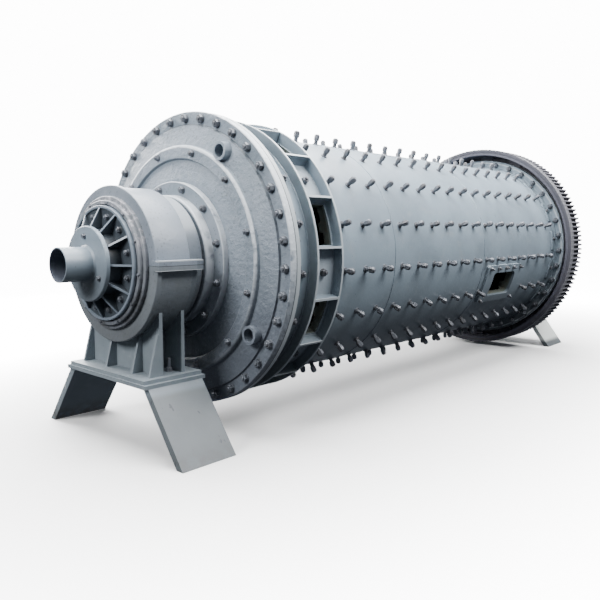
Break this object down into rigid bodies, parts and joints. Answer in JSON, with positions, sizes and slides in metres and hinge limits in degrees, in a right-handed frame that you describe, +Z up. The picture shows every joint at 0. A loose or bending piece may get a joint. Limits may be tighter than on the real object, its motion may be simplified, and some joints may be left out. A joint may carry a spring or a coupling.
{
  "type": "ball mill",
  "caption": "Horizontal grinding mill: a lined, studded drum with discharge ports, a manhole and a girth gear, turning on trunnion bearings on splayed stands.",
  "frame": {"origin": "on the ground, under the middle of the mill's axis", "axes": "+X along the axis from the port end to the girth-gear end, +Z up, -Y the side that the picture shows"},
  "size_m": [6.57, 2.336, 2.368],
  "materials": {
    "drum_paint": "satin blue-grey paint",
    "head_paint": "satin paint on rough casting",
    "gear_paint": "dull grey paint, greasy teeth",
    "trunnion_paint": "satin paint",
    "cover_paint": "satin paint",
    "pipe_paint": "satin paint",
    "housing_paint": "satin paint",
    "stand_paint": "dull paint",
    "liner_steel": "rough manganese steel",
    "bush_metal": "bearing bronze"
  },
  "bodies": {
    "stand": {"port_end_bearing_cap": "housing_paint", "port_end_bearing_body": "housing_paint", "port_end_bush": "bush_metal", "port_end_front_seal": "housing_paint", "port_end_rear_seal": "housing_paint", "port_end_base_plate": "stand_paint", "port_end_cross_plates": "stand_paint", "port_end_pedestal_ribs": "stand_paint", "port_end_sole_plate": "stand_paint", "port_end_near_leg": "stand_paint", "port_end_far_leg": "stand_paint", "gear_end_bearing_cap": "housing_paint", "gear_end_bearing_body": "housing_paint", "gear_end_bush": "bush_metal", "gear_end_front_seal": "housing_paint", "gear_end_rear_seal": "housing_paint", "gear_end_base_plate": "stand_paint", "gear_end_cross_plates": "stand_paint", "gear_end_pedestal_ribs": "stand_paint", "gear_end_sole_plate": "stand_paint", "gear_end_near_leg": "stand_paint", "gear_end_far_leg": "stand_paint"},
    "drum": {"port_course": "drum_paint", "middle_course": "drum_paint", "manhole_course": "drum_paint", "port_liner": "liner_steel", "middle_liner": "liner_steel", "manhole_liner": "liner_steel", "port_ring_front_hoop": "drum_paint", "port_ring_rear_hoop": "drum_paint", "port_ring_ribs": "drum_paint", "manhole_frame": "drum_paint", "girth_gear_near_half": "gear_paint", "girth_gear_far_half": "gear_paint", "port_end_shell_flange": "drum_paint", "gear_end_shell_flange": "drum_paint", "port_end_head": "head_paint", "gear_end_head": "head_paint", "port_end_trunnion": "trunnion_paint", "gear_end_trunnion": "trunnion_paint", "port_end_cover": "cover_paint", "gear_end_cover": "cover_paint", "port_end_pipe": "pipe_paint", "gear_end_pipe": "pipe_paint"}
  },
  "joints": [
    {"name": "drum_spin", "type": "hinge", "parent": "stand", "child": "drum", "pos_m": [0, 0, 1.2], "axis": [1, 0, 0], "continuous": true}
  ]
}
